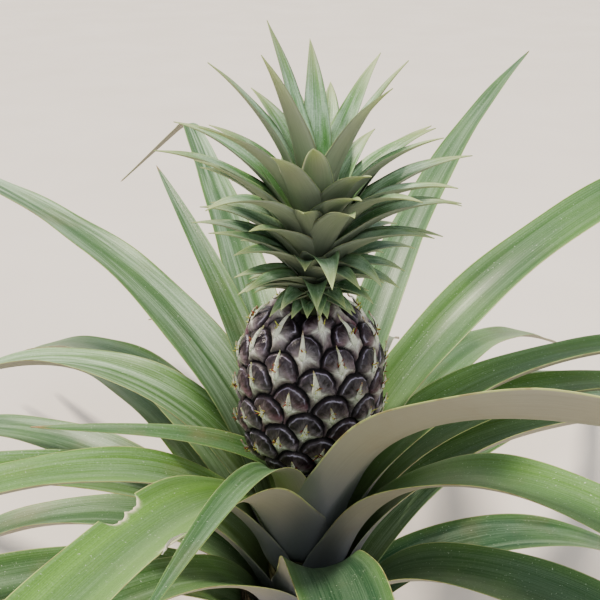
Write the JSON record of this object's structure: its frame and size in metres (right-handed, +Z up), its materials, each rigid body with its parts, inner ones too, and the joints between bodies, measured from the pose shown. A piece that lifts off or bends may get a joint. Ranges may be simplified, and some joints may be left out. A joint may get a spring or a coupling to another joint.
{
  "type": "pineapple plant",
  "caption": "Pineapple plant in fruit: a rosette of long channelled leaves on a short stem, a ripening fruit on its stalk and the leafy crown above it.",
  "frame": {"origin": "middle of the flat cut under the stem, at ground level", "axes": "+Z up, +Y away from the viewer of the picture, +X to the viewer's right"},
  "size_m": [1.3506, 1.3447, 0.6352],
  "materials": {
    "stem": "rough, sheathed in dry leaf bases",
    "fruit_stalk": "satin green",
    "fruit": "waxy, with pale bracts",
    "crown": "waxy with a pale bloom",
    "leaf": "waxy with a pale bloom"
  },
  "bodies": {
    "root": {"crown": "crown", "fruit": "fruit", "fruit_stalk": "fruit_stalk", "leaf_back_left_base": "leaf", "leaf_back_left_blade": "leaf", "leaf_back_left_short": "leaf", "leaf_back_right": "leaf", "leaf_front_down": "leaf", "leaf_front_left_base": "leaf", "leaf_front_left_blade": "leaf", "leaf_front_low_base": "leaf", "leaf_front_low_blade": "leaf", "leaf_front_short": "leaf", "leaf_left_back_low_base": "leaf", "leaf_left_back_low_blade": "leaf", "leaf_left_high": "leaf", "leaf_left_low_a_base": "leaf", "leaf_left_low_a_blade": "leaf", "leaf_left_low_b_base": "leaf", "leaf_left_low_b_blade": "leaf", "leaf_left_low_c_base": "leaf", "leaf_left_low_c_blade": "leaf", "leaf_left_low_d_base": "leaf", "leaf_left_low_d_blade": "leaf", "leaf_left_low_e_base": "leaf", "leaf_left_low_e_blade": "leaf", "leaf_left_mid_base": "leaf", "leaf_left_mid_blade": "leaf", "leaf_left_short": "leaf", "leaf_rear_high_base": "leaf", "leaf_rear_high_blade": "leaf", "leaf_rear_left_base": "leaf", "leaf_rear_left_blade": "leaf", "leaf_rear_low": "leaf", "leaf_rear_low_right": "leaf", "leaf_rear_mid_base": "leaf", "leaf_rear_mid_blade": "leaf", "leaf_rear_mid_right_base": "leaf", "leaf_rear_mid_right_blade": "leaf", "leaf_rear_right_base": "leaf", "leaf_rear_right_blade": "leaf", "leaf_rear_side_base": "leaf", "leaf_rear_side_blade": "leaf", "leaf_right_front_base": "leaf", "leaf_right_front_blade": "leaf", "leaf_right_high": "leaf", "leaf_right_low_a_base": "leaf", "leaf_right_low_a_blade": "leaf", "leaf_right_low_b_base": "leaf", "leaf_right_low_b_blade": "leaf", "leaf_right_low_c_base": "leaf", "leaf_right_low_c_blade": "leaf", "leaf_right_mid_a_base": "leaf", "leaf_right_mid_a_blade": "leaf", "leaf_right_mid_b_base": "leaf", "leaf_right_mid_b_blade": "leaf", "leaf_right_mid_c_base": "leaf", "leaf_right_mid_c_blade": "leaf", "stem": "stem"}
  },
  "joints": []
}
